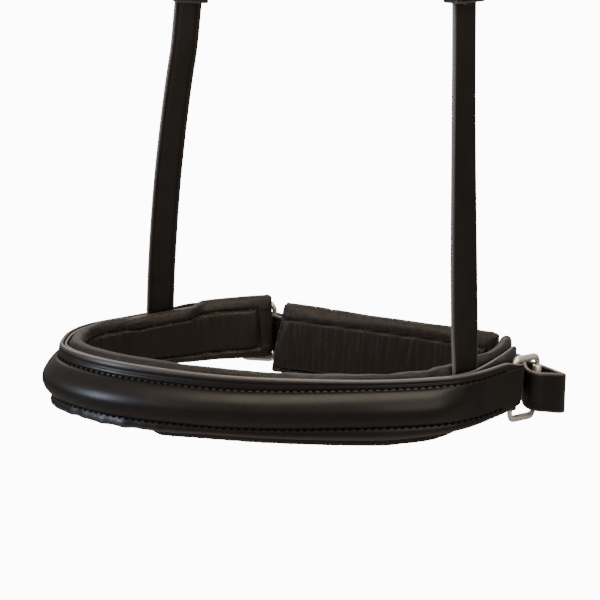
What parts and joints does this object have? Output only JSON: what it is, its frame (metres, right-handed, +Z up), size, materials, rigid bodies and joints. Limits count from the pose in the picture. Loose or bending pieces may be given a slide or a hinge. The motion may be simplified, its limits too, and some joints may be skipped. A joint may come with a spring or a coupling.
{
  "type": "crank noseband",
  "caption": "Padded raised leather noseband with a chin pad, steel rings and a buckled strap, hanging from its leather headstrap.",
  "frame": {"origin": "underside of the crown of the headstrap, at its highest point, where a hook or a horse's poll carries it", "axes": "+Z up along the headstrap, -Y towards the front branch of the nosepiece, +X towards the crank ring; the nose is at -X"},
  "size_m": [0.2863, 0.1451, 0.4936],
  "materials": {
    "bridle_leather": "dyed and waxed bridle leather, satin",
    "pad_leather": "soft glove leather, matt",
    "filler": "foam and cord filling",
    "polished_steel": "polished stainless steel"
  },
  "bodies": {
    "headstrap": {"crown_strap": "bridle_leather", "right_cheek": "bridle_leather", "left_cheek": "bridle_leather", "right_buckle_frame": "polished_steel", "left_buckle_frame": "polished_steel", "right_fixed_keeper": "bridle_leather", "left_fixed_keeper": "bridle_leather"},
    "right_prong": {"right_prong": "polished_steel"},
    "left_prong": {"left_prong": "polished_steel"},
    "right_slider": {"right_sliding_keeper": "bridle_leather"},
    "left_slider": {"left_sliding_keeper": "bridle_leather"},
    "noseband": {"nose_front": "bridle_leather", "nose_core": "filler", "nose_backing": "bridle_leather", "nose_pad_cover": "pad_leather", "nose_pad_foam": "filler", "near_ring_chape": "bridle_leather", "far_ring_chape": "bridle_leather", "far_ring": "polished_steel", "chin_pad_cover": "pad_leather", "chin_pad_foam": "filler", "chin_backing": "bridle_leather", "chin_strap": "bridle_leather", "crank_chape": "bridle_leather", "crank_buckle_frame": "polished_steel", "crank_fixed_keeper": "bridle_leather"},
    "crank_prong": {"crank_prong": "polished_steel"},
    "crank_slider": {"crank_sliding_keeper": "bridle_leather"},
    "near_ring": {"near_ring": "polished_steel"},
    "near_roller": {"near_roller": "polished_steel"}
  },
  "joints": [
    {"name": "noseband_tilt", "type": "hinge", "parent": "headstrap", "child": "noseband", "pos_m": [-0.0138, 0.00203, -0.44596], "axis": [0.8696, -0.4933, -0.0218], "range_deg": [-20, 20], "stiffness_Nm_per_rad": 0.2, "deforming": ["right_cheek", "left_cheek"]},
    {"name": "right_prong_hinge", "type": "hinge", "parent": "headstrap", "child": "right_prong", "pos_m": [0.0647, -0.039, -0.22], "axis": [0.7431, 0.6691, -0.0047], "range_deg": [0, 9]},
    {"name": "left_prong_hinge", "type": "hinge", "parent": "headstrap", "child": "left_prong", "pos_m": [-0.0728, 0.042, -0.23], "axis": [-0.888, -0.4525, 0.0817], "range_deg": [0, 9]},
    {"name": "crank_prong_hinge", "type": "hinge", "parent": "noseband", "child": "crank_prong", "pos_m": [0.03689, 0.04918, -0.46489], "axis": [0.0538, -0.015, 0.9984], "range_deg": [0, 9]},
    {"name": "right_keeper_slide", "type": "slide", "parent": "headstrap", "child": "right_slider", "axis": [-0.0154, 0.0241, 0.9996], "range_m": [-0.02, 0.005]},
    {"name": "left_keeper_slide", "type": "slide", "parent": "headstrap", "child": "left_slider", "axis": [0.107, -0.0305, 0.9938], "range_m": [-0.02, 0.005]},
    {"name": "crank_keeper_slide", "type": "slide", "parent": "noseband", "child": "crank_slider", "axis": [0.9617, -0.2684, -0.0558], "range_m": [-0.006, 0.004]},
    {"name": "near_ring_swing", "type": "hinge", "parent": "noseband", "child": "near_ring", "pos_m": [0.09698, -0.02102, -0.4675], "axis": [0.0629, 0.0604, 0.9962], "range_deg": [-5, 5]},
    {"name": "near_roller_spin", "type": "hinge", "parent": "near_ring", "child": "near_roller", "pos_m": [0.11136, -0.00722, -0.46924], "axis": [0.0629, 0.0604, 0.9962], "continuous": true}
  ]
}
